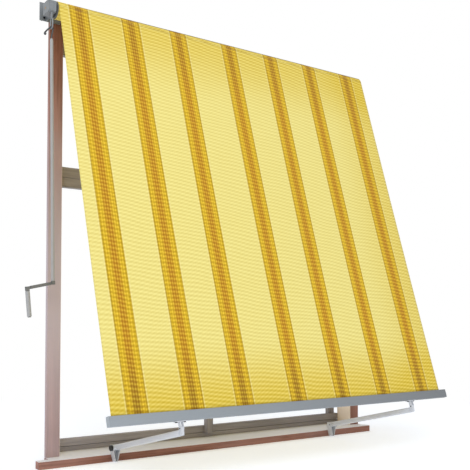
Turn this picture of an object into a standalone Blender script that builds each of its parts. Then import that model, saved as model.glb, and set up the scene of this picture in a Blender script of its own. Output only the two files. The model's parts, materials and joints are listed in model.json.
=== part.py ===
"""Window awning with a roller, two drop arms and a crank, on the timber frame that carries it.

X runs along the window, Y into the wall and Z up. The origin is under the sill, in the plane
of the jambs' front faces and halfway between them. All sizes are in metres, angles in degrees.
"""
import math

import bmesh
import bpy
from mathutils import Matrix, Vector

# Clearances
GAP = 0.0003
RUNNING = 0.0004
HOLE_CLEARANCE = 0.0003

# Timber frame
FRAME_WIDTH = 2.075
FRAME_TOP = 2.235
FRAME_DEPTH = 0.180
JAMB_FACE = 0.069
FACE_THICKNESS = 0.022
LINING_THICKNESS = 0.020
LINING_DEPTH = 0.120
HEAD_HEIGHT = 0.069
SILL_THICKNESS = 0.0365
SILL_NOSE = 0.0875
SILL_HORN_DEPTH = 0.045
SILL_LEFT_HORN = 0.067
SILL_RIGHT_HORN = 0.015

# Grey inner frame
INNER_SETBACK = 0.1165
INNER_DEPTH = 0.033
BOTTOM_RAIL = 0.0237
SASH_RAIL = 0.0367
RAIL_GROOVE = 0.002
TOP_RAIL = 0.108
STILE_FACE = 0.048
TRANSOM_BASE = 1.3785
TRANSOM_LOWER = 0.047
TRANSOM_HEIGHT = 0.103
MULLION_FACE = 0.041
MULLION_X = -0.040
MULLION_PROUD = 0.0335

# Roller and cloth
CLOTH_CENTRE_X = -0.042
CLOTH_MARGIN = 0.075
CLOTH_THICKNESS = 0.0006
ROLL_TURNS = 3
ROLLER_Y = -0.084
ROLLER_BELOW_TOP = 0.043
TUBE_RADIUS = 0.040
TUBE_WALL = 0.0015
FLANGE_RADIUS = 0.037
FLANGE_THICKNESS = 0.003
PLUG_LENGTH = 0.040
PLATE_THICKNESS = 0.003

# Gear
GEAR_WIDTH = 0.033
GEAR_BESIDE_CLOTH = 0.0325
GEAR_HEIGHT = 0.058
HOUSING_WALL = 0.004
COVER_THICKNESS = 0.003
WHEEL_TEETH = 11
WHEEL_PITCH_RADIUS = 0.021
WHEEL_WIDTH = 0.012
TOOTH_DEPTH = 0.0038
TOOTH_ROOT_WIDTH = 0.0048
TOOTH_TIP_WIDTH = 0.0028
HUB_RADIUS = 0.010
HUB_SQUARE = 0.013
HUB_REACH = 0.022
STUB_RADIUS = 0.006
WORM_PITCH_RADIUS = 0.012
WORM_CORE_RADIUS = 0.009
WORM_THREAD_RADIUS = 0.0028
WORM_THREAD_CENTRE = 0.0098
WORM_TURNS = 3
WORM_SHAFT_RADIUS = 0.006
GEAR_PLATE_WIDTH = 0.106
PLATE_BESIDE_GEAR = 0.0175
PLATE_BELOW_AXIS = 0.0315
PLATE_HEIGHT = 0.090
IDLER_PLATE_WIDTH = 0.065
LUG_RADIUS = 0.030
LUG_INSET = 0.002
IDLER_SIDE_GAP = 0.0035
IDLER_PIN_RADIUS = 0.006

# Screws
SCREW_RADIUS = 0.0025
SCREW_HEAD_RADIUS = 0.0055
SCREW_HEAD_HEIGHT = 0.003
WALL_SCREW_LENGTH = 0.040
SILL_SCREW_LENGTH = 0.030
BAR_SCREW_LENGTH = 0.008

# Eye and crank
EYE_BELOW_AXIS = 0.052
EYE_HEIGHT = 0.058
EYE_WIDTH = 0.034
EYE_WIRE = 0.0038
HOOK_WIRE = 0.0038
HOOK_BALL = 0.0068
HOOK_REACH = 0.032
HOOK_DROP = 0.024
HOOK_SHANK = 0.050
HOOK_PLUG = 0.060
ROD_RADIUS = 0.008
ROD_WALL = 0.001
ELBOW_BELOW_AXIS = 1.3185
FORK_WIDTH = 0.018
FORK_SLOT = 0.0086
FORK_DEPTH = 0.016
FORK_ABOVE = 0.010
FORK_BELOW = 0.007
TONGUE_THICKNESS = 0.008
TONGUE_RADIUS = 0.0065
ARM_TUBE_RADIUS = 0.0075
CRANK_REACH = 0.1263
CRANK_DROOP = 12.2
CRANK_LEAN = 0.87
GRIP_LEAN = 5.0
GRIP_LENGTH = 0.118
GRIP_RADIUS = 0.0105
GRIP_ROD_RADIUS = 0.005
GRIP_BUTTON = 0.008
FOLD_PIN_RADIUS = 0.002

# Arms
ARM_SPACING = 1.435
ARM_CENTRE_X = -0.006
ARM_LENGTH = 0.650
ARM_REST_ANGLE = 14.98
ARM_PIN_RISE = 0.018
ARM_PIVOT_Y = -0.112
ARM_PIVOT_Z = 0.071
ARM_HEIGHT = 0.028
ARM_THICKNESS = 0.018
ARM_WALL = 0.0015
ARM_TUBE_START = 0.024
ARM_TUBE_STOP = 0.012
KNUCKLE_WIDTH = 0.030
KNUCKLE_PLUG = 0.030
PIVOT_RADIUS = 0.004
CAP_RADIUS = 0.0145
CAP_THICKNESS = 0.012
BRACKET_THICKNESS = 0.003
BRACKET_FRONT_LIP = 0.013
BRACKET_TOP_LIP = 0.012
BRACKET_WAIST = 0.016
BRACKET_TIP_WIDTH = 0.012

# Front bar
BAR_OVERHANG = 0.048
BAR_SHIFT = 0.0105
BAR_HEIGHT = 0.0435
BAR_DEPTH = 0.025
BAR_WALL = 0.0018
BAR_EDGE = 0.003
BAR_CAP = 0.004
BAR_DROP = 0.0315
SLOT_WIDTH = 0.0026
KEYHOLE_DEPTH = 0.008
KEYHOLE_RADIUS = 0.0042
HEM_ROD_RADIUS = 0.0030
BAR_PIN_RADIUS = 0.003
EAR_THICKNESS = 0.002
EAR_RADIUS = 0.009
TIP_THICKNESS = 0.012
TIP_RADIUS = 0.009
BAR_BRACKET_LENGTH = 0.056
BAR_SCREW_SPACING = 0.042

# Values that follow from the sizes above
JAMB_INNER = FRAME_WIDTH / 2 - JAMB_FACE
CLOTH_WIDTH = FRAME_WIDTH - CLOTH_MARGIN
CLOTH_LEFT = CLOTH_CENTRE_X - CLOTH_WIDTH / 2
CLOTH_RIGHT = CLOTH_CENTRE_X + CLOTH_WIDTH / 2
ROLLER_Z = FRAME_TOP - ROLLER_BELOW_TOP
GEAR_X = CLOTH_LEFT - GEAR_BESIDE_CLOTH
GEAR_PLATE_LEFT = GEAR_X - PLATE_BESIDE_GEAR
PLATE_BASE = ROLLER_Z - PLATE_BELOW_AXIS
EYE_TOP = ROLLER_Z - EYE_BELOW_AXIS
ELBOW_Z = ROLLER_Z - ELBOW_BELOW_AXIS
HOOK_SEAT = EYE_TOP - EYE_HEIGHT + EYE_WIRE
BAR_LENGTH = CLOTH_WIDTH + BAR_OVERHANG
BAR_CENTRE_X = CLOTH_CENTRE_X + BAR_SHIFT
ROLL_INNER = TUBE_RADIUS + GAP
ROLL_RADIUS = ROLL_INNER + ROLL_TURNS * CLOTH_THICKNESS
CLOTH_OFFSET = ROLL_RADIUS + GAP + CLOTH_THICKNESS / 2
WORM_Y = ROLLER_Y - WHEEL_PITCH_RADIUS - WORM_PITCH_RADIUS
PLATE_FRONT = -GAP - PLATE_THICKNESS
HEAD_BASE = FRAME_TOP - HEAD_HEIGHT
SASH_BASE = SILL_THICKNESS + GAP + BOTTOM_RAIL + RAIL_GROOVE
BAR_PIVOT_Y = ARM_PIVOT_Y - ARM_LENGTH * math.cos(math.radians(ARM_REST_ANGLE))
BAR_PIVOT_Z = ARM_PIVOT_Z + ARM_LENGTH * math.sin(math.radians(ARM_REST_ANGLE))
ARM_TILT = math.degrees(math.asin(ARM_PIN_RISE / ARM_LENGTH))
BRACKET_INNER = KNUCKLE_WIDTH / 2 + RUNNING
BRACKET_OUTER = BRACKET_INNER + BRACKET_THICKNESS


def hang_angle(pivot_y, pivot_z):
    """Angle from the vertical of the cloth that runs from the bar's pivot line to the roll's front."""
    across = ROLLER_Y - pivot_y
    up = ROLLER_Z - pivot_z
    return math.degrees(math.atan2(across, up) - math.asin(CLOTH_OFFSET / math.hypot(across, up)))


def hanging_place(height):
    """A point of the crank's axis, which leans about the hook's seat in the eye, by its height unleaned."""
    lean = math.radians(CRANK_LEAN)
    drop = HOOK_SEAT - height
    return Vector((GEAR_X + drop * math.sin(lean), WORM_Y, HOOK_SEAT - drop * math.cos(lean)))


HANG = hang_angle(BAR_PIVOT_Y, BAR_PIVOT_Z)

parts = None
cutters = None
materials = {}


def clear_scene():
    for thing in list(bpy.data.objects):
        bpy.data.objects.remove(thing, do_unlink=True)


def make_collection(name):
    collection = bpy.data.collections.new(name)
    bpy.context.scene.collection.children.link(collection)
    return collection


def material(name, color, roughness, metallic=0.0):
    """A Principled material, made once for each name."""
    if name not in materials:
        found = bpy.data.materials.new(name)
        found.use_nodes = True
        shader = found.node_tree.nodes["Principled BSDF"]
        shader.inputs["Base Color"].default_value = (*color, 1.0)
        shader.inputs["Roughness"].default_value = roughness
        shader.inputs["Metallic"].default_value = metallic
        materials[name] = found
    return materials[name]


def timber(name):
    return material(name, (0.36, 0.18, 0.10), 0.6)


def grey_wood(name):
    return material(name, (0.16, 0.12, 0.09), 0.6)


def zinc(name):
    return material(name, (0.27, 0.28, 0.29), 0.45, 0.8)


def white_metal(name):
    return material(name, (0.75, 0.75, 0.74), 0.35)


def dark_plastic(name):
    return material(name, (0.02, 0.02, 0.025), 0.5)


def add_object(name, data, look, parent=None, smooth=True):
    thing = bpy.data.objects.new(name, data)
    parts.objects.link(thing)
    thing.data.materials.append(look(name))
    thing.parent = parent
    if smooth and thing.type == "MESH":
        data.shade_smooth()
        data.set_sharp_from_angle(angle=math.radians(35))
    return thing


def make_cutter(thing):
    """Turns an object into a hidden operand of a Boolean."""
    parts.objects.unlink(thing)
    cutters.objects.link(thing)
    thing.hide_render = True
    thing.display_type = "WIRE"
    return thing


def combine(thing, other, operation):
    boolean = thing.modifiers.new(operation.title(), "BOOLEAN")
    boolean.operation = operation
    boolean.solver = "EXACT"
    boolean.object = make_cutter(other)


def joint_frame(name, location, rotation=(0.0, 0.0, 0.0)):
    """An empty on a joint's axis, whose children are placed in its own axes."""
    empty = bpy.data.objects.new(name, None)
    parts.objects.link(empty)
    empty.location = location
    empty.rotation_euler = [math.radians(angle) for angle in rotation]
    return empty


def box(name, low, high, look, parent=None):
    """A box from its lowest corner to its highest corner."""
    low, high = Vector(low), Vector(high)
    size = high - low
    mesh = bpy.data.meshes.new(name)
    shape = bmesh.new()
    bmesh.ops.create_cube(shape, size=1.0, matrix=Matrix.Diagonal((*size, 1.0)))
    shape.to_mesh(mesh)
    shape.free()
    thing = add_object(name, mesh, look, parent, smooth=False)
    thing.location = (low + high) / 2
    return thing


def bar(name, start, end, radius, look, parent=None, sides=20):
    """A straight round bar from start to end."""
    start, end = Vector(start), Vector(end)
    mesh = bpy.data.meshes.new(name)
    shape = bmesh.new()
    bmesh.ops.create_cone(
        shape, cap_ends=True, segments=sides, radius1=radius, radius2=radius, depth=(end - start).length
    )
    shape.to_mesh(mesh)
    shape.free()
    thing = add_object(name, mesh, look, parent)
    thing.location = (start + end) / 2
    thing.rotation_euler = (end - start).to_track_quat("Z", "Y").to_euler()
    return thing


def turned(name, profile, look, parent=None, steps=32, axis="Z"):
    """A closed (radius, height) outline turned about an axis. It runs down its outer side first."""
    mesh = bpy.data.meshes.new(name)
    shape = bmesh.new()
    points = [shape.verts.new((radius, 0.0, height)) for radius, height in profile]
    for first, second in zip(points, points[1:]):
        shape.edges.new((first, second))
    if profile[0][0] > 0.0:
        shape.edges.new((points[-1], points[0]))
    shape.to_mesh(mesh)
    shape.free()
    thing = add_object(name, mesh, look, parent, smooth=False)
    screw = thing.modifiers.new("Screw", "SCREW")
    screw.steps = steps
    screw.render_steps = steps
    screw.use_merge_vertices = True
    screw.merge_threshold = 0.00002
    screw.use_smooth_shade = True
    if axis == "X":
        thing.rotation_euler = (0.0, math.radians(90), 0.0)
    return thing


def arc(centre, radius, start, stop, count):
    """Points along an arc, with angles in degrees."""
    points = []
    for index in range(count + 1):
        angle = math.radians(start + (stop - start) * index / count)
        points.append((centre[0] + radius * math.cos(angle), centre[1] + radius * math.sin(angle)))
    return points


def rounded_rectangle(low, high, radius, count=4):
    (x0, y0), (x1, y1) = low, high
    return (
        arc((x1 - radius, y0 + radius), radius, -90, 0, count)
        + arc((x1 - radius, y1 - radius), radius, 0, 90, count)
        + arc((x0 + radius, y1 - radius), radius, 90, 180, count)
        + arc((x0 + radius, y0 + radius), radius, 180, 270, count)
    )


SECTION_TURN = {"X": (90, 0, 90), "Y": (90, 0, 0), "Z": (0, 0, 0)}


def section(name, outlines, start, stop, look, axis="X", parent=None):
    """Flat outlines filled and extruded along an axis: (Y, Z) for X, (X, Z) for Y and (X, Y) for Z."""
    curve = bpy.data.curves.new(name, "CURVE")
    curve.dimensions = "2D"
    curve.fill_mode = "BOTH"
    curve.extrude = abs(stop - start) / 2
    for outline in outlines:
        spline = curve.splines.new("POLY")
        spline.points.add(len(outline) - 1)
        for point, place in zip(spline.points, outline):
            point.co = (*place, 0.0, 1.0)
        spline.use_cyclic_u = True
    thing = add_object(name, curve, look, parent)
    thing.rotation_euler = [math.radians(angle) for angle in SECTION_TURN[axis]]
    thing.location["XYZ".index(axis)] = (start + stop) / 2
    return as_mesh(thing, look)


def sweep(name, points, radius, look, parent=None, radii=None, sides=3, closed=False):
    """A round wire along points. radii scales the wire's radius at each point."""
    curve = bpy.data.curves.new(name, "CURVE")
    curve.dimensions = "3D"
    curve.bevel_depth = radius
    curve.bevel_resolution = sides
    curve.use_fill_caps = not closed
    spline = curve.splines.new("POLY")
    spline.points.add(len(points) - 1)
    for index, place in enumerate(points):
        spline.points[index].co = (*place, 1.0)
        spline.points[index].radius = radii[index] if radii else 1.0
    spline.use_cyclic_u = closed
    return as_mesh(add_object(name, curve, look, parent), look)


def as_mesh(thing, look):
    """Replaces a curve object by a welded mesh, so that it can be cut and joined."""
    bpy.context.view_layer.update()
    evaluated = thing.evaluated_get(bpy.context.evaluated_depsgraph_get())
    mesh = bpy.data.meshes.new_from_object(evaluated)
    mesh.materials.clear()
    shape = bmesh.new()
    shape.from_mesh(mesh)
    bmesh.ops.remove_doubles(shape, verts=shape.verts, dist=0.00001)
    bmesh.ops.recalc_face_normals(shape, faces=shape.faces)
    shape.to_mesh(mesh)
    shape.free()
    name, parent, basis = thing.name, thing.parent, thing.matrix_basis.copy()
    bpy.data.objects.remove(thing)
    solid = add_object(name, mesh, look, parent)
    solid.matrix_basis = basis
    return solid


def drill(thing, start, end, radius, parent=None):
    """Cuts a round hole through an object, from start to end."""
    combine(thing, bar(thing.name + "_drill", start, end, radius, zinc, parent), "DIFFERENCE")


def screw_along_y(name, x, y, z, length, look, parent=None):
    """A screw whose head bears on the face at y and whose shank runs along +Y."""
    seat = y - GAP
    screw = bar(name, (x, seat - SCREW_HEAD_HEIGHT, z), (x, seat, z), SCREW_HEAD_RADIUS, look, parent, 16)
    shank = bar(name + "_shank", (x, seat - GAP, z), (x, seat + length, z), SCREW_RADIUS, look, parent, 12)
    combine(screw, shank, "UNION")
    return screw


# Window frame


def jamb(name, side):
    """A face board that lies on the wall, in one piece with a lining board into the opening."""
    outer, inner = side * FRAME_WIDTH / 2, side * JAMB_INNER
    lining = side * (JAMB_INNER + LINING_THICKNESS)
    outline = [
        (outer, 0),
        (outer, FACE_THICKNESS),
        (lining, FACE_THICKNESS),
        (lining, LINING_DEPTH),
        (inner, LINING_DEPTH),
        (inner, 0),
    ]
    return section(name, [outline], SILL_THICKNESS + GAP, FRAME_TOP, timber, "Z")


def build_timber_frame():
    half = FRAME_WIDTH / 2
    left = jamb("left_jamb", -1)
    right = jamb("right_jamb", 1)
    inner = JAMB_INNER - GAP
    box("head_rail", (-inner, 0, HEAD_BASE), (inner, FRAME_DEPTH, FRAME_TOP), timber)
    horn_back = -SILL_NOSE + SILL_HORN_DEPTH
    lining = JAMB_INNER + LINING_THICKNESS
    steps = [(half, horn_back), (half, FACE_THICKNESS), (lining, FACE_THICKNESS), (lining, LINING_DEPTH),
             (JAMB_INNER, LINING_DEPTH), (JAMB_INNER, FRAME_DEPTH)]
    outline = [(-half - SILL_LEFT_HORN, -SILL_NOSE), (half + SILL_RIGHT_HORN, -SILL_NOSE),
               (half + SILL_RIGHT_HORN, horn_back)]
    outline += steps
    outline += [(-x, y) for x, y in reversed(steps)]
    outline.append((-half - SILL_LEFT_HORN, horn_back))
    sill = section("sill_board", [outline], 0, SILL_THICKNESS, timber, "Z")
    return left, right, sill


def build_inner_frame():
    front, back = INNER_SETBACK, INNER_SETBACK + INNER_DEPTH
    inner = JAMB_INNER - GAP
    base = SILL_THICKNESS + GAP
    top = HEAD_BASE - GAP
    rails = (
        ("bottom_rail", base, BOTTOM_RAIL),
        ("sash_rail", SASH_BASE, SASH_RAIL),
        ("transom", TRANSOM_BASE, TRANSOM_HEIGHT),
        ("top_rail", top - TOP_RAIL, TOP_RAIL),
    )
    solids = {}
    for name, low, height in rails:
        solids[name] = box(name, (-inner, front, low), (inner, back, low + height), grey_wood)
    groove = TRANSOM_BASE + TRANSOM_LOWER
    cutter = box("transom_groove", (-JAMB_INNER, front - RAIL_GROOVE, groove),
                 (JAMB_INNER, front + RAIL_GROOVE, groove + RAIL_GROOVE), grey_wood)
    combine(solids["transom"], cutter, "DIFFERENCE")
    for name, edge in (("left_stile", -inner), ("right_stile", inner - STILE_FACE)):
        box(name, (edge, back + GAP, base), (edge + STILE_FACE, FRAME_DEPTH, top), grey_wood)
    box(
        "mullion",
        (MULLION_X - MULLION_FACE / 2, front - MULLION_PROUD, SASH_BASE),
        (MULLION_X + MULLION_FACE / 2, front - GAP, TRANSOM_BASE + TRANSOM_LOWER),
        grey_wood,
    )


# Gear, roller and idler


def housing_outline(inset=0.0):
    back = ROLLER_Y + WHEEL_PITCH_RADIUS + TOOTH_DEPTH + HOUSING_WALL - inset
    front = WORM_Y - WORM_CORE_RADIUS - 2 * HOUSING_WALL + inset
    half = GEAR_HEIGHT / 2 - inset
    rounding = GEAR_HEIGHT / 4
    outline = arc((front + rounding, ROLLER_Z + half - rounding), rounding, 90, 180, 5)
    outline += arc((front + rounding, ROLLER_Z - half + rounding), rounding, 180, 270, 5)
    return outline + [(back, ROLLER_Z - half), (back, ROLLER_Z + half)]


def build_gear_case():
    left, right = GEAR_X - GEAR_WIDTH / 2, GEAR_X + GEAR_WIDTH / 2
    housing = section("gear_housing", [housing_outline()], left, right, zinc)
    axis = (ROLLER_Y, ROLLER_Z)
    wheel_room = WHEEL_PITCH_RADIUS + TOOTH_DEPTH
    combine(housing, bar("wheel_room", (left - 0.01, *axis), (right - HOUSING_WALL, *axis),
                         wheel_room, zinc, None, 32), "DIFFERENCE")
    half = GEAR_HEIGHT / 2 - HOUSING_WALL
    worm_room = WORM_THREAD_CENTRE + WORM_THREAD_RADIUS + RUNNING
    combine(housing, bar("worm_room", (GEAR_X, WORM_Y, ROLLER_Z - half), (GEAR_X, WORM_Y, ROLLER_Z + half),
                         worm_room, zinc, None, 24), "DIFFERENCE")
    drill(housing, (GEAR_X, *axis), (right + 0.01, *axis), HUB_RADIUS + RUNNING)
    drill(housing, (GEAR_X, WORM_Y, ROLLER_Z), (GEAR_X, WORM_Y, ROLLER_Z - GEAR_HEIGHT),
          WORM_SHAFT_RADIUS + RUNNING)
    cover = section("gear_cover", [housing_outline()], left - GAP - COVER_THICKNESS, left - GAP, zinc)
    drill(cover, (left - 0.01, *axis), (left + 0.01, *axis), STUB_RADIUS + RUNNING)


def tooth_outline():
    """The worm wheel's outline, with a tooth that faces the worm."""
    root = WHEEL_PITCH_RADIUS - TOOTH_DEPTH / 2
    tip = root + TOOTH_DEPTH
    pitch = 360 / WHEEL_TEETH
    outline = []
    for index in range(WHEEL_TEETH):
        middle = 180 + index * pitch
        root_turn = math.degrees(TOOTH_ROOT_WIDTH / 2 / root)
        tip_turn = math.degrees(TOOTH_TIP_WIDTH / 2 / tip)
        for radius, turn in ((root, -root_turn), (tip, -tip_turn), (tip, tip_turn), (root, root_turn)):
            angle = math.radians(middle + turn)
            outline.append((radius * math.cos(angle), radius * math.sin(angle)))
        outline += arc((0, 0), root, middle + root_turn, middle + pitch - root_turn, 3)[1:-1]
    return outline


def build_worm_wheel(roller):
    middle = GEAR_X
    wheel = section("worm_wheel", [tooth_outline()], middle - WHEEL_WIDTH / 2, middle + WHEEL_WIDTH / 2,
                    white_metal, "X", roller)
    square_start = CLOTH_LEFT - GAP - FLANGE_THICKNESS - RUNNING
    combine(wheel, bar("wheel_hub", (middle, 0, 0), (square_start, 0, 0), HUB_RADIUS, zinc, roller), "UNION")
    stub_end = GEAR_X - GEAR_WIDTH / 2 - COVER_THICKNESS
    combine(wheel, bar("wheel_stub", (middle, 0, 0), (stub_end, 0, 0), STUB_RADIUS, zinc, roller), "UNION")
    half = HUB_SQUARE / 2
    square = box("wheel_square", (square_start - HUB_RADIUS, -half, -half), (CLOTH_LEFT + HUB_REACH, half, half),
                 zinc, roller)
    combine(wheel, square, "UNION")


def build_roller(roller):
    length = CLOTH_WIDTH
    middle = CLOTH_CENTRE_X
    inner = TUBE_RADIUS - TUBE_WALL
    ring = [(TUBE_RADIUS, length / 2), (TUBE_RADIUS, -length / 2), (inner, -length / 2), (inner, length / 2)]
    turned("roller_tube", ring, white_metal, roller, 40, "X").location.x = middle
    ring = [(ROLL_RADIUS, length / 2), (ROLL_RADIUS, -length / 2), (ROLL_INNER, -length / 2), (ROLL_INNER, length / 2)]
    turned("fabric_roll", ring, cloth_look, roller, 48, "X").location.x = middle
    half = HUB_SQUARE / 2 + HOLE_CLEARANCE
    plug = end_plug("drive_plug", CLOTH_LEFT, 1, roller, inner)
    combine(plug, box("plug_square", (CLOTH_LEFT - 0.01, -half, -half),
                      (CLOTH_LEFT + HUB_REACH + GAP, half, half), zinc, roller), "DIFFERENCE")
    plug = end_plug("idler_plug", CLOTH_RIGHT, -1, roller, inner)
    drill(plug, (CLOTH_RIGHT - PLUG_LENGTH - 0.01, 0, 0), (CLOTH_RIGHT + 0.01, 0, 0),
          IDLER_PIN_RADIUS + RUNNING, roller)


def end_plug(name, end, inward, roller, tube_inner):
    """A plug in the tube's end, in one piece with the disc that covers the end."""
    outer = end - inward * GAP
    plug = bar(name, (outer - inward * FLANGE_THICKNESS, 0, 0), (outer, 0, 0), FLANGE_RADIUS,
               dark_plastic, roller, 40)
    body = bar(name + "_body", (outer - inward * FLANGE_THICKNESS / 2, 0, 0), (end + inward * PLUG_LENGTH, 0, 0),
               tube_inner - GAP, dark_plastic, roller, 40)
    combine(plug, body, "UNION")
    return plug


def build_lug(plate, x, hole):
    """A cheek that stands out from a wall plate and carries the roller's axis."""
    outline = arc((ROLLER_Y, ROLLER_Z), LUG_RADIUS, 90, 270, 10)
    seat = PLATE_FRONT + PLATE_THICKNESS / 2
    outline += [(seat, PLATE_BASE + LUG_INSET), (seat, PLATE_BASE + PLATE_HEIGHT - LUG_INSET)]
    combine(plate, section("lug", [outline], x, x + PLATE_THICKNESS, zinc), "UNION")
    if hole:
        drill(plate, (x - 0.01, ROLLER_Y, ROLLER_Z), (x + 0.01, ROLLER_Y, ROLLER_Z), hole)


def build_wall_plates():
    low = (GEAR_PLATE_LEFT, PLATE_FRONT, PLATE_BASE)
    high = (GEAR_PLATE_LEFT + GEAR_PLATE_WIDTH, -GAP, PLATE_BASE + PLATE_HEIGHT)
    plate = box("gear_plate", low, high, zinc)
    slot_x = GEAR_PLATE_LEFT + 0.25 * GEAR_PLATE_WIDTH
    slot_z = PLATE_BASE + 0.62 * PLATE_HEIGHT
    slot = section("plate_slot", [rounded_rectangle((-0.0028, -0.018), (0.0028, 0.018), 0.0027)],
                   -0.02, 0.02, zinc, "Y")
    slot.location = (slot_x, 0, slot_z)
    slot.rotation_euler = (math.radians(90), math.radians(-10), 0)
    combine(plate, slot, "DIFFERENCE")
    build_lug(plate, GEAR_X + GEAR_WIDTH / 2 + GAP, HUB_RADIUS + RUNNING)
    lug_x = CLOTH_RIGHT + GAP + FLANGE_THICKNESS + IDLER_SIDE_GAP
    plate_left = lug_x - LUG_INSET
    bracket = box("idler_bracket", (plate_left, PLATE_FRONT, PLATE_BASE),
                  (plate_left + IDLER_PLATE_WIDTH, -GAP, PLATE_BASE + PLATE_HEIGHT), zinc)
    build_lug(bracket, lug_x, None)
    head = lug_x + PLATE_THICKNESS
    pin = bar("idler_pin", (CLOTH_RIGHT - PLUG_LENGTH, ROLLER_Y, ROLLER_Z), (head + 0.001, ROLLER_Y, ROLLER_Z),
              IDLER_PIN_RADIUS, zinc, None, 20)
    combine(bracket, pin, "UNION")
    return plate, bracket, lug_x


def build_wall_screws(plate, bracket, left_jamb, right_jamb, lug_x):
    """Two screws for each wall plate. The gear plate's outer one goes into the wall beside the jamb."""
    low = PLATE_BASE + 0.18 * PLATE_HEIGHT
    high = PLATE_BASE + 0.62 * PLATE_HEIGHT
    outer_x = GEAR_PLATE_LEFT + 0.22 * GEAR_PLATE_WIDTH
    jamb_middle = FRAME_WIDTH / 2 - JAMB_FACE / 2
    idler_x = lug_x + 0.6 * IDLER_PLATE_WIDTH
    places = (
        ("gear_screw_outer", outer_x, low, plate, None),
        ("gear_screw_inner", -jamb_middle, high, plate, left_jamb),
        ("idler_screw_low", idler_x, low, bracket, right_jamb),
        ("idler_screw_high", idler_x, high, bracket, right_jamb),
    )
    for name, x, z, carrier, jamb in places:
        end = WALL_SCREW_LENGTH + 0.002
        drill(carrier, (x, -0.02, z), (x, 0.02, z), SCREW_RADIUS + HOLE_CLEARANCE)
        if jamb:
            drill(jamb, (x, -0.02, z), (x, end, z), SCREW_RADIUS + HOLE_CLEARANCE)
        screw_along_y(name, x, PLATE_FRONT, z, WALL_SCREW_LENGTH, zinc)


# Crank


def build_worm(crank):
    """Worm, shaft and eye are one casting. The crank's empty is on its axis, at the roller's height."""
    half = GEAR_HEIGHT / 2 - HOUSING_WALL - RUNNING
    eye_top = EYE_TOP - ROLLER_Z
    profile = [
        (0, half),
        (WORM_CORE_RADIUS, half),
        (WORM_CORE_RADIUS, -half),
        (WORM_SHAFT_RADIUS, -half),
        (WORM_SHAFT_RADIUS, eye_top),
        (WORM_SHAFT_RADIUS / 2, eye_top - EYE_WIRE),
        (0, eye_top - EYE_WIRE),
    ]
    worm = turned("worm_with_eye", profile, zinc, crank, 20)
    lead = 2 * math.pi * WHEEL_PITCH_RADIUS / WHEEL_TEETH
    per_turn = 20
    count = WORM_TURNS * per_turn
    points = []
    for index in range(count + 1):
        turns = index / per_turn - WORM_TURNS / 2
        angle = math.radians(270 + 360 * turns)
        points.append((
            WORM_THREAD_CENTRE * math.cos(angle),
            WORM_THREAD_CENTRE * math.sin(angle),
            lead * turns,
        ))
    thread = sweep("worm_thread", points, WORM_THREAD_RADIUS, zinc, crank, None, 2)
    combine(worm, thread, "UNION")
    side = EYE_WIDTH / 2 - EYE_WIRE
    low = eye_top - EYE_HEIGHT + EYE_WIRE + side
    high = eye_top - EYE_WIRE - side
    ring = [(0, y, z) for y, z in arc((0, high), side, 0, 180, 8) + arc((0, low), side, 180, 360, 8)]
    eye = sweep("eye_ring", ring, EYE_WIRE, zinc, crank, None, 2, True)
    combine(worm, eye, "UNION")


def build_hook(crank):
    """The hook's bend hangs over the bottom of the eye, then the shank comes back to the axis."""
    bend = EYE_WIRE + HOOK_WIRE + GAP
    bottom = HOOK_SEAT - ROLLER_Z
    tube_top = bottom - HOOK_SHANK
    points = [
        (-HOOK_REACH, 0, bottom - HOOK_DROP - 2 * HOOK_BALL),
        (-HOOK_REACH, 0, bottom - HOOK_DROP - 1.7 * HOOK_BALL),
        (-HOOK_REACH, 0, bottom - HOOK_DROP - HOOK_BALL),
        (-HOOK_REACH, 0, bottom - HOOK_DROP - 0.3 * HOOK_BALL),
        (-HOOK_REACH, 0, bottom - HOOK_DROP),
        (-HOOK_REACH * 0.62, 0, bottom - HOOK_DROP * 0.4),
    ]
    points += [(x, 0, z) for x, z in arc((0, bottom), bend, 165, 0, 8)]
    points += [(bend * 0.85, 0, bottom - bend), (0, 0, tube_top + 0.012), (0, 0, tube_top - HOOK_PLUG)]
    ball = HOOK_BALL / HOOK_WIRE
    radii = [0.35 * ball, 0.75 * ball, ball, 0.75 * ball, 1.0] + [1.0] * (len(points) - 5)
    sweep("crank_hook", points, HOOK_WIRE, zinc, crank, radii, 2)
    return tube_top


def build_crank_rod(crank, tube_top):
    elbow = ELBOW_Z - ROLLER_Z
    bottom = elbow + FORK_ABOVE + GAP
    inner = ROD_RADIUS - ROD_WALL
    neck = HOOK_WIRE + GAP
    profile = [
        (ROD_RADIUS * 0.7, tube_top),
        (ROD_RADIUS, tube_top - ROD_RADIUS),
        (ROD_RADIUS, bottom),
        (inner, bottom),
        (inner, tube_top - ROD_RADIUS),
        (neck, tube_top - ROD_RADIUS / 2),
        (neck, tube_top),
    ]
    turned("crank_rod", profile, white_metal, crank, 20)
    half_width, half_depth = FORK_WIDTH / 2, FORK_DEPTH / 2
    fork = box("elbow_fork", (-half_depth, -half_width, elbow - FORK_BELOW),
               (half_depth, half_width, elbow + FORK_ABOVE), dark_plastic, crank)
    combine(fork, bar("fork_plug", (0, 0, elbow + FORK_ABOVE - 0.002), (0, 0, bottom + 0.03),
                      inner - GAP, dark_plastic, crank), "UNION")
    slot = FORK_SLOT / 2
    combine(fork, box("fork_slot", (-half_depth - 0.01, -slot, elbow - FORK_BELOW - 0.01),
                      (half_depth + 0.01, slot, elbow + TONGUE_RADIUS + RUNNING), dark_plastic, crank),
            "DIFFERENCE")
    drill(fork, (0, -0.02, elbow), (0, 0.02, elbow), FOLD_PIN_RADIUS + HOLE_CLEARANCE, crank)
    bar("elbow_pin", (0, -half_width, elbow), (0, half_width, elbow), FOLD_PIN_RADIUS, zinc, crank, 12)


def tongue(name, x, parent, look):
    """A flat round end on the arm, across the fold pin at x."""
    half = TONGUE_THICKNESS / 2
    return bar(name, (x, -half, 0), (x, half, 0), TONGUE_RADIUS, look, parent, 20)


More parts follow.
